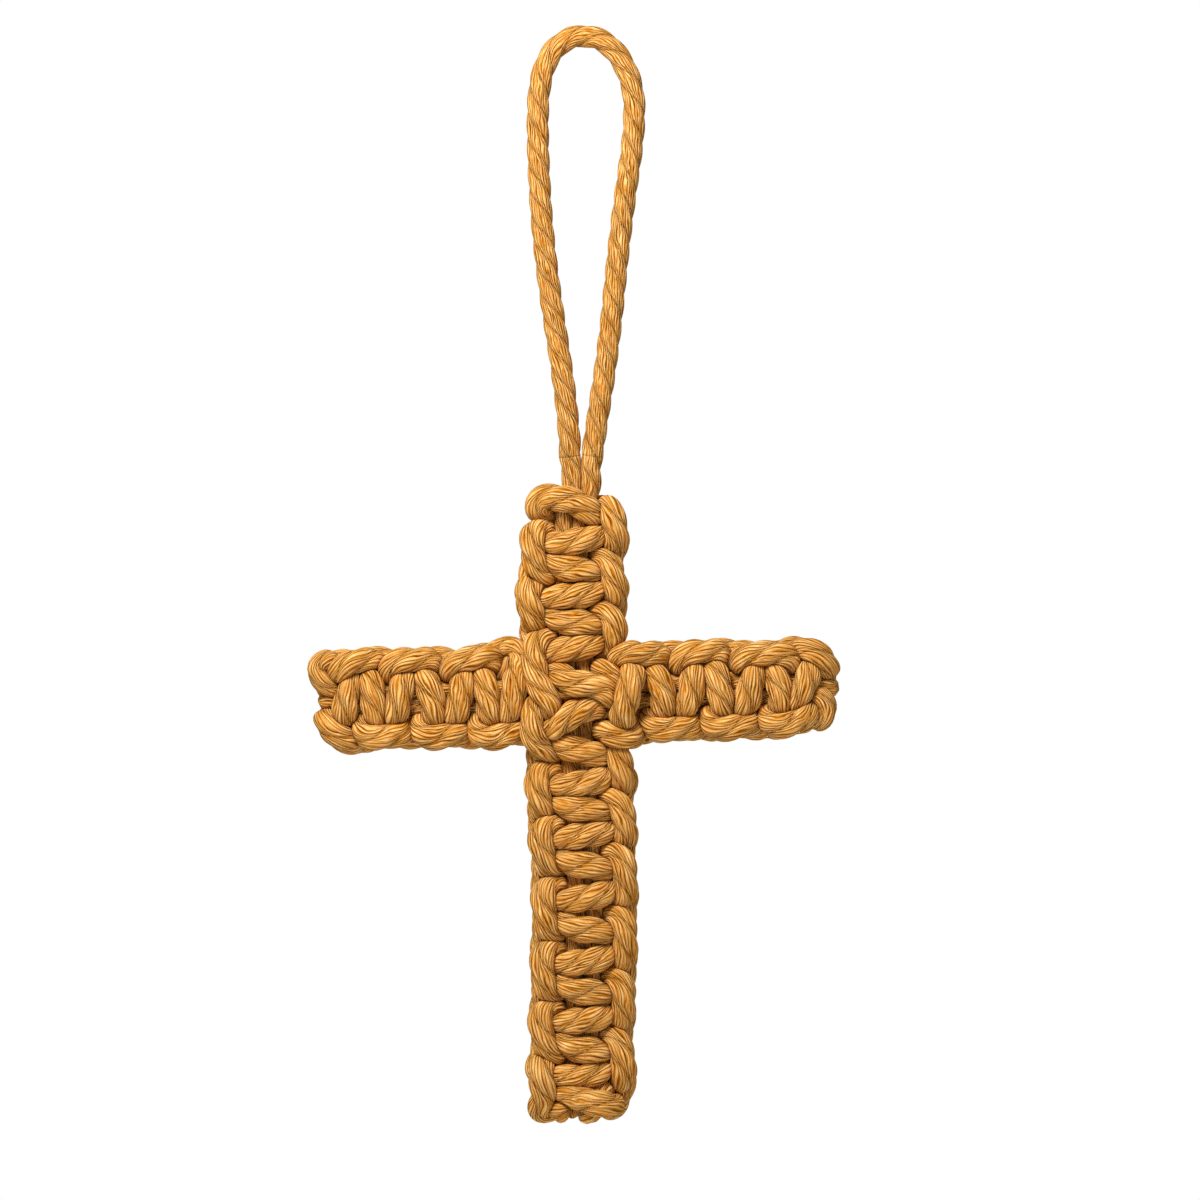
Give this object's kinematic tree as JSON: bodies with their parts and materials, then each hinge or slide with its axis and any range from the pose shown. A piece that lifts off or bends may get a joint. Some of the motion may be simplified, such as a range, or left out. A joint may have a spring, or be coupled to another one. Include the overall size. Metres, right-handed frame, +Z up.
{
  "type": "woven cord cross ornament",
  "caption": "Hanging cross of knotted ochre cotton cord: square-knot upright and crossbar, with the upright's core cord folded into a loop.",
  "frame": {"origin": "underside of the top of the hanging loop, in the middle of the cord, where a peg or nail carries it", "axes": "+Z up, +X to the viewer's right, the front faces -Y"},
  "size_m": [0.1061, 0.0154, 0.2101],
  "materials": {
    "cord": "matte"
  },
  "bodies": {
    "root": {"hanging_loop": "cord", "upright_knotting_cord": "cord", "crossbar_knotting_cord": "cord", "upright_core_left": "cord", "upright_core_right": "cord", "crossbar_core_upper": "cord", "crossbar_core_lower": "cord"}
  },
  "joints": []
}
